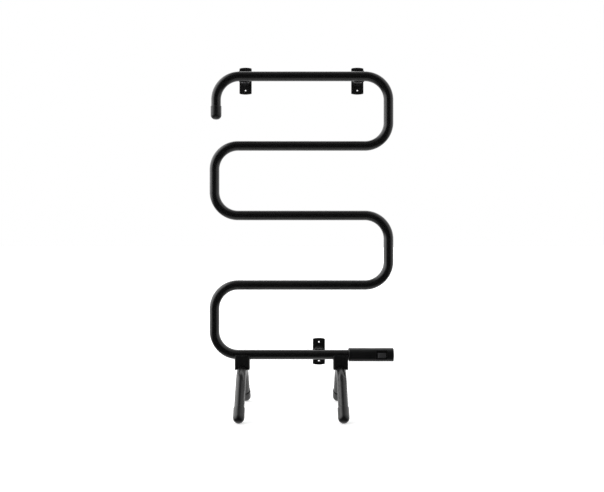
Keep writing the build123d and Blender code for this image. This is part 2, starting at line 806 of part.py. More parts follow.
def supply_wire():
    """From the terminal block's upper pole to the thermal protector."""
    y, z = protector_lead(1)
    turn_x = boot_end_x - wire_r
    points = [(protector_end_x, y, z), (turn_x, y, z)]
    points += [(block_x - 4 * wire_bend, pole_y, pole_pitch), (block_x + wire_grip, pole_y, pole_pitch)]
    return wire(points)


def live_lead():
    """From the thermal protector back to the heating cable's boot."""
    y, z = protector_lead(-1)
    turn_x = boot_end_x + 2 * wire_bend
    lead_y = -cable_forward - lead_spread
    points = [(protector_end_x, y, z), (turn_x, y, z)]
    points += [(turn_x, lead_y, cable_up), (boot_end_x, lead_y, cable_up)]
    return wire(points)


def neutral_lead():
    """From the heating cable's boot to the terminal block's middle pole."""
    lead_y = lead_spread - cable_forward
    points = [(boot_end_x, lead_y, cable_up), (boot_end_x + 3 * wire_bend, lead_y, cable_up)]
    points += [(block_x - 3 * wire_bend, pole_y, 0), (block_x + wire_grip, pole_y, 0)]
    return wire(points)


def earth_wire():
    """From the terminal block's lower pole to the ring under the tube."""
    barrel_z = earth_barrel_z()
    start_x = tube_end_x + ring_barrel_gap + ring_barrel_length
    points = [(start_x, 0, barrel_z), (start_x + 4 * wire_bend, 0, barrel_z)]
    points += [(block_x - 3 * wire_bend, pole_y, -pole_pitch), (block_x + wire_grip, pole_y, -pole_pitch)]
    return wire(points)


def switched_live_wire():
    """From the switch's middle terminal to the terminal block's upper pole."""
    middle_x = terminal_places()[0]
    turn_y = terminal_end_y + 2 * wire_bend
    turn_x = (middle_x + block_end_x) / 2
    points = [(middle_x, terminal_end_y, 0), (middle_x, turn_y, 0)]
    points += [(turn_x, turn_y, pole_pitch / 2)]
    points += [(block_end_x + 2 * wire_bend, pole_y, pole_pitch), (block_end_x - wire_grip, pole_y, pole_pitch)]
    return wire(points)


def earth_barrel_z():
    """Height, from the tube's axis, of the earth ring's barrel."""
    return ring_thickness - tube_r


def earth_ring_terminal():
    """Ring under the tube with a barrel for the earth wire."""
    top_z = -tube_r
    low_z = top_z - ring_thickness
    ring = rod(box_point(earth_x, 0, low_z), box_point(earth_x, 0, top_z), ring_r)
    start_x = tube_end_x + ring_barrel_gap
    end_x = start_x + ring_barrel_length
    neck_low = box_point(earth_x, -ring_neck_width / 2, low_z)
    ring += block(neck_low, box_point(start_x + ring_thickness, ring_neck_width / 2, top_z))
    barrel_z = earth_barrel_z()
    ring += rod(box_point(start_x, 0, barrel_z), box_point(end_x, 0, barrel_z), ring_barrel_r)
    return ring - rod(box_point(earth_x, 0, low_z), box_point(earth_x, 0, top_z), earth_screw_r + press_gap)


def earth_screw():
    """Screw that clamps the earth ring to the tube."""
    seat_z = -tube_r - ring_thickness
    seat = box_point(earth_x, 0, seat_z)
    screw = rod(seat, box_point(earth_x, 0, earth_screw_reach - tube_r), earth_screw_r)
    return screw + rod(box_point(earth_x, 0, seat_z - earth_head), seat, earth_head_r)


def pole_heights():
    """Height of each pole of the terminal block above the tube's axis."""
    return (-pole_pitch, 0, pole_pitch)


def clamp_screw_places():
    """Place along the box of the two clamp screws of a pole."""
    return (block_x + clamp_screw_inset, block_end_x - clamp_screw_inset)


def terminal_block():
    """Moulding of the terminal block, with its wire holes and screw holes."""
    low = box_point(block_x, block_back_y - block_thickness, -block_half_height)
    body = block(low, box_point(block_end_x, block_back_y, block_half_height))
    body = fillet(body.edges().filter_by(Axis.X), cap_rim_round)
    for z in pole_heights():
        body -= rod(box_point(block_x, pole_y, z), box_point(block_end_x, pole_y, z), insert_r + press_gap)
        for x in clamp_screw_places():
            front = box_point(x, -box_depth, z)
            body -= rod(front, box_point(x, pole_y, z), clamp_screw_r + fit_gap)
    return body


def terminal_inserts():
    """Brass sleeves in the poles of the terminal block."""
    inserts = []
    for z in pole_heights():
        start = box_point(block_x + insert_end_gap, pole_y, z)
        end = box_point(block_end_x - insert_end_gap, pole_y, z)
        insert = rod(start, end, insert_r) - rod(start, end, insert_bore_r)
        for x in clamp_screw_places():
            front = box_point(x, pole_y - 2 * insert_r, z)
            insert -= rod(front, box_point(x, pole_y, z), clamp_screw_r + press_gap)
        inserts.append(insert)
    return Compound(children=inserts)


def terminal_clamp_screws():
    """Screws that clamp the wires in the poles."""
    screws = []
    for z in pole_heights():
        for x in clamp_screw_places():
            head = box_point(x, pole_y - block_thickness / 2 + insert_end_gap, z)
            screws.append(rod(head, box_point(x, pole_y - wire_r - press_gap, z), clamp_screw_r))
    return Compound(children=screws)


def all_pieces():
    """Every separate piece, under the name of its node."""
    pieces = {
        "rail_tube": rail_tube(),
        "rail_end_cap": rail_end_cap(),
        "rivet_nuts": rivet_nuts(),
        "wall_bracket_screws": bracket_screws(),
        "foot_bolts": foot_bolts(),
        "foot_bolt_washers": foot_washers(),
        "control_box_front_shell": control_box_front_shell(),
        "control_box_rear_shell": control_box_rear_shell(),
        "control_box_case_screws": case_screws(),
        "control_box_fixing_screw": box_fix_screw(),
        "control_panel": control_panel(),
        "tube_entry_seal": tube_entry_seal(),
        "cord_inlet_grommet": cord_inlet_grommet(),
        "switch_housing": switch_housing(),
        "switch_rocker": switch_rocker(),
        "switch_contact_lever": switch_contact_lever(),
        "switch_terminals": switch_terminals(),
        "heating_cable": heating_cable(),
        "heating_cable_end_seal": heating_cable_end_seal(),
        "heating_cable_lead_boot": heating_cable_lead_boot(),
        "thermal_protector": thermal_protector(),
        "protector_supply_wire": supply_wire(),
        "heating_live_lead": live_lead(),
        "heating_neutral_lead": neutral_lead(),
        "switched_live_wire": switched_live_wire(),
        "earth_wire": earth_wire(),
        "earth_ring_terminal": earth_ring_terminal(),
        "earth_screw": earth_screw(),
        "terminal_block": terminal_block(),
        "terminal_inserts": terminal_inserts(),
        "terminal_clamp_screws": terminal_clamp_screws(),
    }
    for name, (x, z) in bracket_places().items():
        pieces[name] = wall_bracket(x, z)
    for side_name, x in (("left", left_foot_x), ("right", right_foot_x)):
        pieces[side_name + "_foot_tube"] = foot_tube(x)
        pieces[side_name + "_foot_cradle"] = foot_cradle(x)
        pieces[side_name + "_front_foot_cap"] = foot_cap(x, -1)
        pieces[side_name + "_rear_foot_cap"] = foot_cap(x, 1)
    return pieces


os.makedirs("parts", exist_ok=True)
for node, shape in all_pieces().items():
    export_step(shape, os.path.join("parts", node + ".step"))
    print(node, round(shape.volume, 1))
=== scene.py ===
# %% [markdown]
# # An electric heated towel rail in black
#
# The real object is one long steel tube, bent into five bars and painted with a satin powder coat.
# Two bent feet, a small control box and three wall brackets are fixed to it. This lesson dresses a
# measured model of it, piece by piece, and lights it like a studio photograph.

import json
from math import cos, pi, radians, sin, tan

import bmesh
import bpy
from mathutils import Matrix, Vector


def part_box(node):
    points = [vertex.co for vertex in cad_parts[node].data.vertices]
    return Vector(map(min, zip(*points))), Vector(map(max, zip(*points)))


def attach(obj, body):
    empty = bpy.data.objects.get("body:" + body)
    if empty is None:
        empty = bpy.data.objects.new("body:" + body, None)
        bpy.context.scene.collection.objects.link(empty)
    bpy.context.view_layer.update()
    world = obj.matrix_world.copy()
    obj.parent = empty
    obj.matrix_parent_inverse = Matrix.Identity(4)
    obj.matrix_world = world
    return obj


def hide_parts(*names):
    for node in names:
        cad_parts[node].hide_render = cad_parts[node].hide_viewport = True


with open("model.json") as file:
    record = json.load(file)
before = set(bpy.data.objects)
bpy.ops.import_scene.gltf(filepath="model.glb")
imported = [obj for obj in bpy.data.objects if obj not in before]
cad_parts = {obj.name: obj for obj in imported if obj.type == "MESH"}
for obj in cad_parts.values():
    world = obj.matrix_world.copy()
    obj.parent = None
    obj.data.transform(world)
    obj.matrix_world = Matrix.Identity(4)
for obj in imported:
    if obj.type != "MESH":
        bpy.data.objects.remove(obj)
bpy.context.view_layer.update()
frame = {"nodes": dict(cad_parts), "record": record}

# %% [markdown]
# ## Helpers
#
# Every size is given in millimetres, as on a drawing, and MM turns it into metres. Places are
# measured from the nodes of the model, so that each piece sits where the real one does.

# %% Millimetres and places
MM = 0.001


def middle_of(node):
    """Centre of a node's box."""
    low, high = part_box(node)
    return (low + high) / 2


def mesh_object(name, mesh):
    """New object at the origin that shows the mesh."""
    piece = bpy.data.objects.new(name, mesh)
    bpy.context.scene.collection.objects.link(piece)
    return piece


# %% [markdown]
# ## The camera
#
# The photograph was taken square to the rail, from about two metres away and at the height of the
# middle bars. The picture's centre is a little to one side of the line of sight, which a small lens
# shift repeats.

# %% Camera
CAMERA_PLACE = (-16.7 * MM, -2050 * MM, 439 * MM)
LENS_MM = 47.21
SHIFT_RIGHT = 0.0111
SHIFT_UP = -0.00712

camera_data = bpy.data.cameras.new("camera")
camera_data.lens = LENS_MM
camera_data.shift_x = SHIFT_RIGHT
camera_data.shift_y = SHIFT_UP
camera = bpy.data.objects.new("camera", camera_data)
camera.location = CAMERA_PLACE
camera.rotation_euler = (radians(90), 0, 0)
bpy.context.scene.collection.objects.link(camera)
bpy.context.scene.camera = camera
print("camera at", [round(v, 3) for v in camera.location])

# %% [markdown]
# ## Light
#
# Black shiny things are lit by what they reflect. The studio round this rail is bright behind,
# below and at the sides, brightest at the left, fainter overhead, and dark behind the camera. That
# gives each tube a dark middle and light edges. The world holds that studio, because it lights
# every height alike. The camera itself sees a plain pale backdrop.


# %% A small helper for node trees
def add_node(tree, kind, inputs=None, **settings):
    """Adds a node, with its settings and the values or links of its inputs."""
    node = tree.nodes.new(kind)
    for name, value in settings.items():
        setattr(node, name, value)
    for key, value in (inputs or {}).items():
        socket = node.inputs[key]
        if isinstance(value, bpy.types.NodeSocket):
            tree.links.new(value, socket)
        else:
            socket.default_value = value
    return node


def math_node(tree, operation, first, second):
    """Sum, product or comparison of two values or links."""
    node = tree.nodes.new("ShaderNodeMath")
    node.operation = operation
    for socket, value in zip(node.inputs, (first, second)):
        if isinstance(value, bpy.types.NodeSocket):
            tree.links.new(value, socket)
        else:
            socket.default_value = value
    return node.outputs[0]


# %% The studio, as a world
bpy.context.scene.view_settings.view_transform = "Standard"

STUDIO_PANELS = [  # direction of the panel, where it begins and is full, brightness
    ((-0.9, 0, 0.43), 0.62, 0.95, 2.7),
    ((0.9, 0, 0.43), 0.5, 0.9, 0.9),
    ((0, 0, 1), 0.5, 0.9, 0.22),
    ((0, 0.72, 0.69), 0.75, 0.98, 0.6),
    ((0, 0, -1), 0.6, 1.0, 0.8),
    ((0, 1, 0), 0.1, 0.6, 0.95),
]
STUDIO_DARK = 0.03
BACKDROP = 1.0

world = bpy.data.worlds.new("studio")
bpy.context.scene.world = world
world.use_nodes = True
studio = world.node_tree
studio.nodes.clear()
toward = add_node(studio, "ShaderNodeTexCoord")
brightness = STUDIO_DARK
for direction, begin, full, strength in STUDIO_PANELS:
    inputs = {0: toward.outputs["Generated"], 1: Vector(direction).normalized()}
    along = add_node(studio, "ShaderNodeVectorMath", inputs, operation="DOT_PRODUCT")
    panel = add_node(
        studio,
        "ShaderNodeMapRange",
        {
            "Value": along.outputs["Value"],
            "From Min": begin,
            "From Max": full,
            "To Min": 0.0,
            "To Max": strength,
        },
        interpolation_type="SMOOTHSTEP",
    )
    brightness = math_node(studio, "ADD", panel.outputs["Result"], brightness)
WHITE = (1, 1, 1, 1)
studio_light = add_node(studio, "ShaderNodeBackground", {"Color": WHITE, "Strength": brightness})
backdrop = add_node(studio, "ShaderNodeBackground", {"Color": WHITE, "Strength": BACKDROP})
seen = add_node(studio, "ShaderNodeLightPath")
choice = add_node(
    studio,
    "ShaderNodeMixShader",
    {0: seen.outputs["Is Camera Ray"], 1: studio_light.outputs[0], 2: backdrop.outputs[0]},
)
add_node(studio, "ShaderNodeOutputWorld", {"Surface": choice.outputs[0]})
print("studio panels:", len(STUDIO_PANELS))

# %% [markdown]
# The floor is one large pale plane. What the camera sees of it is lifted a little, as a bright
# studio floor is. The tubes do not mirror it: from below they reflect the studio alone.

# %% Floor
FLOOR_HALF = 60.0
FLOOR_LIFT = 0.4
FLOOR_COLOR = (0.86, 0.86, 0.86, 1)
FLOOR_ROUGHNESS = 0.9

floor_material = bpy.data.materials.new("pale_floor")
floor_material.use_nodes = True
floor_tree = floor_material.node_tree
floor_shader = floor_tree.nodes["Principled BSDF"]
floor_shader.inputs["Base Color"].default_value = FLOOR_COLOR
floor_shader.inputs["Roughness"].default_value = FLOOR_ROUGHNESS
floor_shader.inputs["Emission Color"].default_value = WHITE
floor_seen = add_node(floor_tree, "ShaderNodeLightPath")
lift = math_node(floor_tree, "MULTIPLY", floor_seen.outputs["Is Camera Ray"], FLOOR_LIFT)
floor_tree.links.new(lift, floor_shader.inputs["Emission Strength"])
floor_mesh = bpy.data.meshes.new("floor")
floor_turn = [(-1, -1), (1, -1), (1, 1), (-1, 1)]
floor_corners = [(x * FLOOR_HALF, y * FLOOR_HALF, 0) for x, y in floor_turn]
floor_mesh.from_pydata(floor_corners, [], [(0, 1, 2, 3)])
floor_mesh.materials.append(floor_material)
floor = mesh_object("floor", floor_mesh)
floor.visible_glossy = False

# %% [markdown]
# ## Finishes
#
# Each finish is a Principled shader. Fine noise on the object's own coordinates gives the small
# unevenness that tells powder coat from moulded plastic, rubber or plated steel. The noise moves
# the roughness a little and drives a low bump, because a perfectly even black looks drawn.


# %% One recipe for most finishes
CLOUD_MM = 28


def finish(name, color, roughness, grain_mm, bump_mm, spread=0.06, **fixed):
    """Material with an uneven roughness and a fine grain of the given size and height."""
    material = bpy.data.materials.new(name)
    material.use_nodes = True
    tree = material.node_tree
    shader = tree.nodes["Principled BSDF"]
    shader.inputs["Base Color"].default_value = (*color, 1)
    for socket, value in fixed.items():
        shader.inputs[socket.replace("_", " ")].default_value = value
    place = add_node(tree, "ShaderNodeTexCoord").outputs["Object"]
    cloud = {"Vector": place, "Scale": 1 / (CLOUD_MM * MM), "Detail": 3.0}
    cloudy = add_node(tree, "ShaderNodeTexNoise", cloud)
    uneven = add_node(
        tree,
        "ShaderNodeMapRange",
        {
            "Value": cloudy.outputs[0],
            "From Min": 0.3,
            "From Max": 0.7,
            "To Min": roughness - spread,
            "To Max": roughness + spread,
        },
    )
    tree.links.new(uneven.outputs["Result"], shader.inputs["Roughness"])
    fine = {"Vector": place, "Scale": 1 / (grain_mm * MM), "Detail": 2.0}
    grain = add_node(tree, "ShaderNodeTexNoise", fine)
    relief = {"Height": grain.outputs[0], "Distance": bump_mm * MM, "Strength": 1.0}
    bump = add_node(tree, "ShaderNodeBump", relief)
    tree.links.new(bump.outputs[0], shader.inputs["Normal"])
    return material


FINISHES = {}


def add_finish(name, *recipe, **fixed):
    """Makes a finish and files it under its name."""
    FINISHES[name] = finish(name, *recipe, **fixed)


add_finish("black_powder_coat", (0.004, 0.004, 0.0042), 0.25, 1.8, 0.003)
add_finish("matte_black_plastic", (0.004, 0.004, 0.0043), 0.42, 0.5, 0.012)
add_finish("satin_black_plastic", (0.004, 0.004, 0.0043), 0.34, 0.4, 0.006)
add_finish("gloss_black_plastic", (0.003, 0.003, 0.0032), 0.12, 3.0, 0.002, spread=0.03)
add_finish("smoke_grey_plastic", (0.03, 0.03, 0.032), 0.38, 0.35, 0.006)
add_finish("black_rubber", (0.005, 0.005, 0.0053), 0.32, 0.8, 0.006)
add_finish("black_steel", (0.006, 0.006, 0.006), 0.35, 0.8, 0.01)
add_finish("zinc_steel", (0.55, 0.56, 0.57), 0.3, 0.7, 0.008, Metallic=1.0)
add_finish("brass", (0.7, 0.48, 0.2), 0.28, 0.6, 0.006, Metallic=1.0)
add_finish("aluminium_can", (0.75, 0.75, 0.76), 0.3, 0.5, 0.004, Metallic=1.0)
add_finish("silicone_cable", (0.28, 0.04, 0.025), 0.5, 0.8, 0.01)
add_finish("brown_wire", (0.1, 0.045, 0.02), 0.4, 0.5, 0.004)
add_finish("blue_wire", (0.02, 0.1, 0.4), 0.4, 0.5, 0.004)
add_finish("white_plastic", (0.72, 0.71, 0.67), 0.4, 0.6, 0.006)

# %% [markdown]
# The earth wire has two colours: green, with a yellow stripe that winds along it.

# %% Striped insulation
GREEN = (0.03, 0.22, 0.04, 1)
YELLOW = (0.75, 0.6, 0.03, 1)
STRIPE_MM = 10
GREEN_SHARE = 0.6

striped = finish("green_yellow_wire", GREEN[:3], 0.4, 0.5, 0.004)
stripes = striped.node_tree
stripe_place = add_node(stripes, "ShaderNodeTexCoord").outputs["Object"]
bands = add_node(
    stripes,
    "ShaderNodeTexWave",
    {"Vector": stripe_place, "Scale": 1 / (STRIPE_MM * MM), "Distortion": 0.0},
    bands_direction="DIAGONAL",
)
stripe_color = add_node(stripes, "ShaderNodeValToRGB", {"Fac": bands.outputs["Fac"]})
stripe_color.color_ramp.interpolation = "CONSTANT"
stripe_color.color_ramp.elements[0].color = GREEN
stripe_color.color_ramp.elements[1].position = GREEN_SHARE
stripe_color.color_ramp.elements[1].color = YELLOW
striped_shader = stripes.nodes["Principled BSDF"]
stripes.links.new(stripe_color.outputs["Color"], striped_shader.inputs["Base Color"])
FINISHES["green_yellow_wire"] = striped
print("finishes:", len(FINISHES))

# %% [markdown]
# Every node of the model takes its finish from the material slot that its record names.

# %% Finishes on the nodes
slot_of = {part["node"]: part["material_slot"] for part in frame["record"]["subparts"]}
for node_name, node in frame["nodes"].items():
    node.data.materials.clear()
    node.data.materials.append(FINISHES[slot_of[node_name]])
print("nodes with a finish:", len(slot_of))

# %% [markdown]
# ## Bent tubes
#
# The rail and the two feet are round tubes along straight runs with rounded corners.
# One Geometry Nodes group makes them all: the corners become a curve, the curve is filleted,
# and a circle is swept along it.


# %% The tube group
ROUND_STEPS = 96
BEND_STEPS = 40
SHARP = radians(40)


def bent_tube_group():
    """Node group: a line of corners in, a round tube with rounded bends out."""
    tree = bpy.data.node_groups.new("bent_tube", "GeometryNodeTree")
    tree.interface.new_socket("Corners", in_out="INPUT", socket_type="NodeSocketGeometry")
    tree.interface.new_socket("Bend radius", in_out="INPUT", socket_type="NodeSocketFloat")
    tree.interface.new_socket("Tube radius", in_out="INPUT", socket_type="NodeSocketFloat")
    tree.interface.new_socket("Finish", in_out="INPUT", socket_type="NodeSocketMaterial")
    tree.interface.new_socket("Tube", in_out="OUTPUT", socket_type="NodeSocketGeometry")
    given = tree.nodes.new("NodeGroupInput").outputs
    line = add_node(tree, "GeometryNodeMeshToCurve", {"Mesh": given["Corners"]})
    rounded = add_node(
        tree,
        "GeometryNodeFilletCurve",
        {"Curve": line.outputs[0], "Count": BEND_STEPS, "Radius": given["Bend radius"]},
        mode="POLY",
    )
    ring = {"Resolution": ROUND_STEPS, "Radius": given["Tube radius"]}
    circle = add_node(tree, "GeometryNodeCurvePrimitiveCircle", ring)
    swept = add_node(
        tree,
        "GeometryNodeCurveToMesh",
        {"Curve": rounded.outputs[0], "Profile Curve": circle.outputs["Curve"], "Fill Caps": True},
    )
    smooth = add_node(tree, "GeometryNodeSetShadeSmooth", {"Geometry": swept.outputs[0]})
    whole = add_node(tree, "GeometryNodeRealizeInstances", {"Geometry": smooth.outputs[0]})
    coat = {"Geometry": whole.outputs[0], "Material": given["Finish"]}
    coated = add_node(tree, "GeometryNodeSetMaterial", coat)
    add_node(tree, "NodeGroupOutput", {"Tube": coated.outputs[0]})
    return tree


def settle(piece):
    """Keeps what the piece's modifiers make as its plain mesh."""
    bpy.context.view_layer.update()
    ready = piece.evaluated_get(bpy.context.evaluated_depsgraph_get())
    made = bpy.data.meshes.new_from_object(ready)
    piece.modifiers.clear()
    piece.data = made
    return made


def run_group(piece, tree, **values):
    """Runs a node group on a piece and keeps the result as its plain mesh."""
    modifier = piece.modifiers.new(tree.name, "NODES")
    modifier.node_group = tree
    for item in tree.interface.items_tree:
        label = item.name.replace(" ", "_").lower()
        if label in values:
            modifier[item.identifier] = values[label]
    made = settle(piece)
    made.set_sharp_from_angle(angle=SHARP)
    print(piece.name, "faces:", len(made.polygons))


def stands_for(piece, node_name, body="frame"):
    """The piece takes the place of a node, which is hidden, and rides on its body."""
    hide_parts(node_name)
    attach(piece, body)


# %% Rail and feet
BENT_TUBE = bent_tube_group()
TUBE_R = 12.5 * MM
RAIL_BEND = 61 * MM
FOOT_BEND = 98 * MM
BARS = 5
CAP_FLOOR = 9
TUBE_INTO_BOX = 25 * MM

rail_low, rail_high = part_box("rail_tube")
left_x, right_x = rail_low.x + TUBE_R, rail_high.x - TUBE_R
bottom_z, top_z = rail_low.z + TUBE_R, rail_high.z - TUBE_R
bar_spacing = (top_z - bottom_z) / (BARS - 1)
cap_low, cap_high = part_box("rail_end_cap")
free_end = Vector(((cap_low.x + cap_high.x) / 2, 0, cap_low.z + CAP_FLOOR * MM))

rail_corners = [(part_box("tube_entry_seal")[0].x + TUBE_INTO_BOX, 0, bottom_z)]
for bar in range(BARS - 1):
    bend_x = left_x if bar % 2 == 0 else right_x
    low_z = bottom_z + bar * bar_spacing
    rail_corners += [(bend_x, 0, low_z), (bend_x, 0, low_z + bar_spacing)]
rail_corners += [(free_end.x, 0, top_z), free_end]


def tube_along(name, corners, bend_radius, node_name):
    """Bent tube through the corners, in place of a node."""
    mesh = bpy.data.meshes.new(name)
    mesh.from_pydata(corners, [(k, k + 1) for k in range(len(corners) - 1)], [])
    coat = FINISHES[slot_of[node_name]]
    piece = mesh_object(name, mesh)
    run_group(piece, BENT_TUBE, bend_radius=bend_radius, tube_radius=TUBE_R, finish=coat)
    stands_for(piece, node_name)


tube_along("bent_rail", rail_corners, RAIL_BEND, "rail_tube")

# %% [markdown]
# Each foot is a wide inverted V. Its legs slope at 45 degrees, and end inside the rubber caps.

# %% Feet
CAP_BALL_R = 14
CAP_BALL_Z = 13.6
CAP_SEAT = 4
LEG_ANGLE = radians(45)

half_spread = -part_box("left_front_foot_cap")[0].y - CAP_BALL_R * MM
leg_end_y = half_spread - CAP_SEAT * MM * sin(LEG_ANGLE)
leg_end_z = CAP_BALL_Z * MM + CAP_SEAT * MM * cos(LEG_ANGLE)
peak_z = CAP_BALL_Z * MM + half_spread / tan(LEG_ANGLE)
for side in ("left", "right"):
    x = middle_of(side + "_foot_tube").x
    corners = [(x, -leg_end_y, leg_end_z), (x, 0, peak_z), (x, leg_end_y, leg_end_z)]
    tube_along(side + "_bent_foot", corners, FOOT_BEND, side + "_foot_tube")

# %% [markdown]
# ## Turned pieces
#
# The cap on the free end and the four foot caps are turned bodies, so each is drawn as a half
# outline in millimetres. A corner of the outline may have a radius, which becomes a short arc.


# %% Helpers for turned bodies
def soft_outline(corners, steps=8):
    """Points of an outline given as radius, height and corner radius."""
    outline = []
    for index, (radius, height, bend) in enumerate(corners):
        here = Vector((radius, height))
        if bend == 0:
            outline.append(here)
            continue
        back = (Vector(corners[index - 1][:2]) - here).normalized()
        ahead = (Vector(corners[index + 1][:2]) - here).normalized()
        half_angle = back.angle(ahead) / 2
        centre = here + (back + ahead).normalized() * (bend / sin(half_angle))
        first = here + back * (bend / tan(half_angle)) - centre
        last = here + ahead * (bend / tan(half_angle)) - centre
        arc = [first.slerp(last, step / steps) for step in range(steps + 1)]
        outline += [centre + spoke.normalized() * bend for spoke in arc]
    return outline


def plain_round(angle):
    """A round section has the same reach at every angle."""
    return 1.0


def turned_form(rings, steps=ROUND_STEPS):
    """Closed turned body; a ring is a radius, a height and, where it is not round, its section."""
    form = bmesh.new()
    loops = []
    for radius, height, *section in rings:
        reach = section[0] if section else plain_round
        loop = []
        for step in range(steps):
            turn = 2 * pi * step / steps
            out = radius * reach(turn)
            loop.append(form.verts.new((out * cos(turn), out * sin(turn), height)))
        loops.append(loop)
    for low, high in zip(loops, loops[1:]):
        for k in range(steps):
            after = (k + 1) % steps
            form.faces.new((low[k], low[after], high[after], high[k]))
    bmesh.ops.remove_doubles(form, verts=form.verts, dist=1e-7)
    bmesh.ops.recalc_face_normals(form, faces=form.faces)
    return form


def formed_piece(name, form, material):
    """Object from a finished form, smooth but for its sharp edges."""
    mesh = bpy.data.meshes.new(name)
    form.to_mesh(mesh)
    form.free()
    mesh.shade_smooth()
    mesh.set_sharp_from_angle(angle=SHARP)
    mesh.materials.append(material)
    return mesh_object(name, mesh)


# %% [markdown]
# The cap on the free end is pushed over the tube and has a round nose.

# %% Cap on the free end
CAP_R = 13.9
CAP_BORE_R = 12.55
CAP_LENGTH = 34.6
RIM = 0.5
NOSE_ROUND = 11.5
NOSE_STEPS = 16

cap_outline = [
    (0, 0, 0),
    (CAP_R, 0, NOSE_ROUND),
    (CAP_R, CAP_LENGTH, RIM),
    (CAP_BORE_R, CAP_LENGTH, RIM),
    (CAP_BORE_R, CAP_FLOOR, 0),
    (0, CAP_FLOOR, 0),
]
cap_points = soft_outline(cap_outline, NOSE_STEPS)
nose = turned_form([(point.x * MM, point.y * MM) for point in cap_points])
bmesh.ops.translate(nose, verts=nose.verts, vec=(free_end.x, 0, cap_low.z))
stands_for(formed_piece("free_end_cap", nose, FINISHES["matte_black_plastic"]), "rail_end_cap")

# %% [markdown]
# A foot cap is a rubber sleeve with a ball end. The ball is cut by the floor, which leaves a small
# flat to stand on. The rim of the sleeve is rounded, and the leg goes into it.

# %% Foot caps
SLEEVE = 26.5
BALL_STEPS = 24


def foot_cap_form():
    """Foot cap along +Z, with the middle of its ball at the origin."""
    turn = [pi / 2 * k / BALL_STEPS for k in range(BALL_STEPS + 1)]
    ball = [(CAP_BALL_R * sin(a), -CAP_BALL_R * cos(a)) for a in turn]
    sleeve = [
        (CAP_BALL_R, CAP_SEAT, 0),
        (CAP_BALL_R, SLEEVE, RIM),
        (CAP_BORE_R, SLEEVE, RIM),
        (CAP_BORE_R, CAP_SEAT, 0),
        (0, CAP_SEAT, 0),
    ]
    rings = ball + [tuple(point) for point in soft_outline(sleeve)]
    return turned_form([(radius * MM, height * MM) for radius, height in rings])


for side in ("left", "right"):
    for end, sign in (("front", -1), ("rear", 1)):
        node_name = side + "_" + end + "_foot_cap"
        form = foot_cap_form()
        lean = Matrix.Rotation(sign * LEG_ANGLE, 4, "X")
        place = Vector((middle_of(node_name).x, sign * half_spread, CAP_BALL_Z * MM))
        bmesh.ops.transform(form, matrix=Matrix.Translation(place) @ lean, verts=form.verts)
        everything = form.verts[:] + form.edges[:] + form.faces[:]
        ground = {"plane_co": (0, 0, 0), "plane_no": (0, 0, -1), "clear_outer": True}
        cut = bmesh.ops.bisect_plane(form, geom=everything, **ground)
        rim = [edge for edge in cut["geom_cut"] if isinstance(edge, bmesh.types.BMEdge)]
        bmesh.ops.edgenet_fill(form, edges=rim)
        bmesh.ops.recalc_face_normals(form, faces=form.faces)
        sleeve_name = side + "_" + end + "_rubber_cap"
        stands_for(formed_piece(sleeve_name, form, FINISHES["black_rubber"]), node_name)

# %% [markdown]
# ## Screws
#
# One screw is turned for each kind, with a socket in its head that has six sides or the shape of a
# cross. A Geometry Nodes group sets it on every place of its kind and joins the copies into one
# piece.


# %% Sockets and screws
ARM_HALF_WIDTH = 0.28
SHANK_TIP = 0.4
UNDER_HEAD = 0.2
HEAD_EDGE = 0.5
SOCKET_TAPER = 0.94
SOCKET_LIP = 0.15
SOCKET_CONE = 0.3


def six_sided(angle):
    """Reach of a hexagon whose corners lie at one radius."""
    return cos(pi / 6) / cos(angle % (pi / 3) - pi / 6)


def cross_shaped(angle):
    """Reach of a cross with four arms, as a share of an arm's length."""
    off_arm = abs((angle + pi / 4) % (pi / 2) - pi / 4)
    return min(1.0, ARM_HALF_WIDTH / max(sin(off_arm), 0.01))


def screw_form(head_r, head, shank_r, shank, socket_r, socket, section):
    """Screw along +Z: its head stands on z = 0, its shank hangs below."""
    outside = [
        (0, -shank, 0),
        (shank_r, -shank, SHANK_TIP),
        (shank_r, 0, 0),
        (head_r, 0, UNDER_HEAD),
        (head_r, head, HEAD_EDGE),
        (socket_r, head, 0),
    ]
    rings = [tuple(point) for point in soft_outline(outside)[:-1]]
    rings += [
        (socket_r, head, section),
        (socket_r * SOCKET_TAPER, head - SOCKET_LIP, section),
        (socket_r * SOCKET_TAPER, head - socket, section),
        (0, head - socket - SOCKET_CONE),
    ]
    return turned_form([(ring[0] * MM, ring[1] * MM, *ring[2:]) for ring in rings])


def screw_set_group():
    """Node group: places in, one screw on each place out, as one mesh."""
    tree = bpy.data.node_groups.new("screw_set", "GeometryNodeTree")
    tree.interface.new_socket("Places", in_out="INPUT", socket_type="NodeSocketGeometry")
    tree.interface.new_socket("Screw", in_out="INPUT", socket_type="NodeSocketObject")
    tree.interface.new_socket("Facing", in_out="INPUT", socket_type="NodeSocketRotation")
    tree.interface.new_socket("Finish", in_out="INPUT", socket_type="NodeSocketMaterial")
    tree.interface.new_socket("Screws", in_out="OUTPUT", socket_type="NodeSocketGeometry")
    given = tree.nodes.new("NodeGroupInput").outputs
    pattern = add_node(tree, "GeometryNodeObjectInfo", {"Object": given["Screw"]})
    set_out = add_node(
        tree,
        "GeometryNodeInstanceOnPoints",
        {
            "Points": given["Places"],
            "Instance": pattern.outputs["Geometry"],
            "Rotation": given["Facing"],
        },
    )
    whole = add_node(tree, "GeometryNodeRealizeInstances", {"Geometry": set_out.outputs[0]})
    plating = {"Geometry": whole.outputs[0], "Material": given["Finish"]}
    plated = add_node(tree, "GeometryNodeSetMaterial", plating)
    add_node(tree, "NodeGroupOutput", {"Screws": plated.outputs[0]})
    return tree


SCREW_SET = screw_set_group()
FACING_BACK = (radians(-90), 0, 0)
FACING_DOWN = (radians(180), 0, 0)


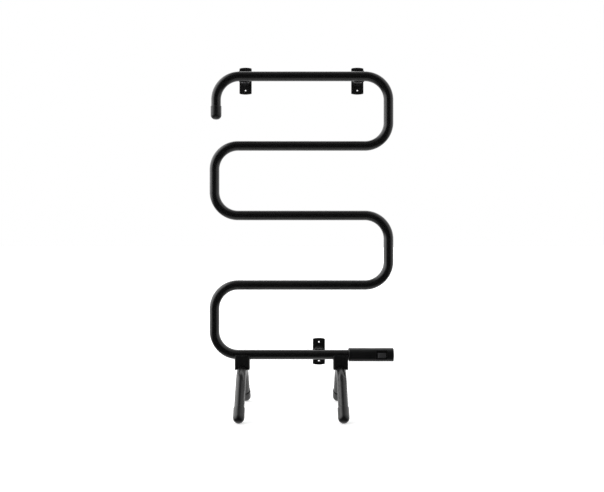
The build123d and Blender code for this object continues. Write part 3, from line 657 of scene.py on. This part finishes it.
def set_screws(name, node_name, places, facing, **sizes):
    """Screws of one kind at their places, in place of a node."""
    material = FINISHES[slot_of[node_name]]
    pattern = formed_piece(name + "_pattern", screw_form(**sizes), material)
    mesh = bpy.data.meshes.new(name)
    mesh.from_pydata(places, [], [])
    piece = mesh_object(name, mesh)
    run_group(piece, SCREW_SET, screw=pattern, facing=facing, finish=material)
    bpy.data.objects.remove(pattern)
    stands_for(piece, node_name)


# %% The four kinds of screw
FLAT_HEAD = 2.0
TALL_HEAD = 3.2
CASE_HEAD_R = 2.8

case_low, case_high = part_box("control_box_case_screws")
case_x = (case_low.x + case_high.x) / 2
case_heights = (case_low.z + CASE_HEAD_R * MM, case_high.z - CASE_HEAD_R * MM)
set_screws(
    "case_screws",
    "control_box_case_screws",
    [(case_x, case_high.y - FLAT_HEAD * MM, height) for height in case_heights],
    FACING_BACK,
    head_r=CASE_HEAD_R,
    head=FLAT_HEAD,
    shank_r=1.45,
    shank=16.0,
    socket_r=1.7,
    socket=1.3,
    section=cross_shaped,
)

fixing_x = middle_of("control_box_fixing_screw").x
fixing_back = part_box("control_box_fixing_screw")[1].y
set_screws(
    "fixing_screw",
    "control_box_fixing_screw",
    [(fixing_x, fixing_back - FLAT_HEAD * MM, bottom_z)],
    FACING_BACK,
    head_r=4.6,
    head=FLAT_HEAD,
    shank_r=2.5,
    shank=8.5,
    socket_r=2.3,
    socket=1.3,
    section=six_sided,
)

TALL_SCREW = {"head_r": 4.6, "head": TALL_HEAD, "shank_r": 2.5, "socket_r": 2.6, "socket": 1.9}
BRACKETS = ("top_left_wall_bracket", "top_right_wall_bracket", "bottom_wall_bracket")
post_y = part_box("wall_bracket_screws")[1].y - TALL_HEAD * MM
post_places = [(middle_of(name).x, post_y, middle_of(name).z) for name in BRACKETS]
set_screws(
    "post_screws",
    "wall_bracket_screws",
    post_places,
    FACING_BACK,
    shank=25.0,
    section=six_sided,
    **TALL_SCREW,
)

bolt_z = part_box("foot_bolts")[0].z + TALL_HEAD * MM
bolt_places = [(middle_of(side + "_foot_tube").x, 0, bolt_z) for side in ("left", "right")]
set_screws(
    "foot_screws",
    "foot_bolts",
    bolt_places,
    FACING_DOWN,
    shank=46.0,
    section=six_sided,
    **TALL_SCREW,
)

# %% [markdown]
# ## The control box
#
# A moulded shell never has a knife edge. The copies below keep the measured shells and panel,
# and round the edges that meet the light: the seam between the shells, and the rim of the panel.


# %% Helper for soft edges
CORNER = radians(50)


def soft_edged(name, node_name, width, choose):
    """Copy of a node's form whose chosen sharp edges are rounded."""
    form = bmesh.new()
    form.from_mesh(frame["nodes"][node_name].data)
    bmesh.ops.remove_doubles(form, verts=form.verts, dist=1e-6)
    joined = [edge for edge in form.edges if len(edge.link_faces) == 2]
    chosen = [edge for edge in joined if edge.calc_face_angle() > CORNER and choose(edge)]
    bmesh.ops.bevel(
        form,
        geom=chosen,
        offset=width,
        offset_type="OFFSET",
        segments=3,
        profile=0.5,
        affect="EDGES",
        clamp_overlap=True,
    )
    bmesh.ops.recalc_face_normals(form, faces=form.faces)
    print(name, "rounded edges:", len(chosen))
    piece = formed_piece(name, form, FINISHES[slot_of[node_name]])
    even = piece.modifiers.new("even_shading", "WEIGHTED_NORMAL")
    even.keep_sharp = True
    even.weight = 100
    settle(piece)
    stands_for(piece, node_name)


# %% Shells and panel with soft edges
SEAM_Y = 2 * MM
SEAM_SLACK = 0.01 * MM
SKIN_DEPTH = 15.9 * MM
LEFT_END = 0.3 * MM
RIGHT_END = 1.6 * MM
PANEL_DEPTH = 7 * MM
SEAM_ROUND = 0.35 * MM
PANEL_ROUND = 0.22 * MM

shell_low, shell_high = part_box("control_box_front_shell")
panel_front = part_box("control_panel")[0].y


def on_the_seam(edge):
    """True for the outer edge of the seam between the shells."""
    left, right = shell_low.x + LEFT_END, shell_high.x - RIGHT_END
    at_seam = all(abs(v.co.y - SEAM_Y) < SEAM_SLACK for v in edge.verts)
    outside = all(abs(v.co.z - bottom_z) > SKIN_DEPTH for v in edge.verts)
    at_end = all(v.co.x < left or v.co.x > right for v in edge.verts)
    return at_seam and (outside or at_end)


def on_the_panel_front(edge):
    """True for the edges of the panel that are seen from the front."""
    return all(v.co.y < panel_front + PANEL_DEPTH for v in edge.verts)


soft_edged("box_front", "control_box_front_shell", SEAM_ROUND, on_the_seam)
soft_edged("box_rear", "control_box_rear_shell", SEAM_ROUND, on_the_seam)
soft_edged("box_panel", "control_panel", PANEL_ROUND, on_the_panel_front)
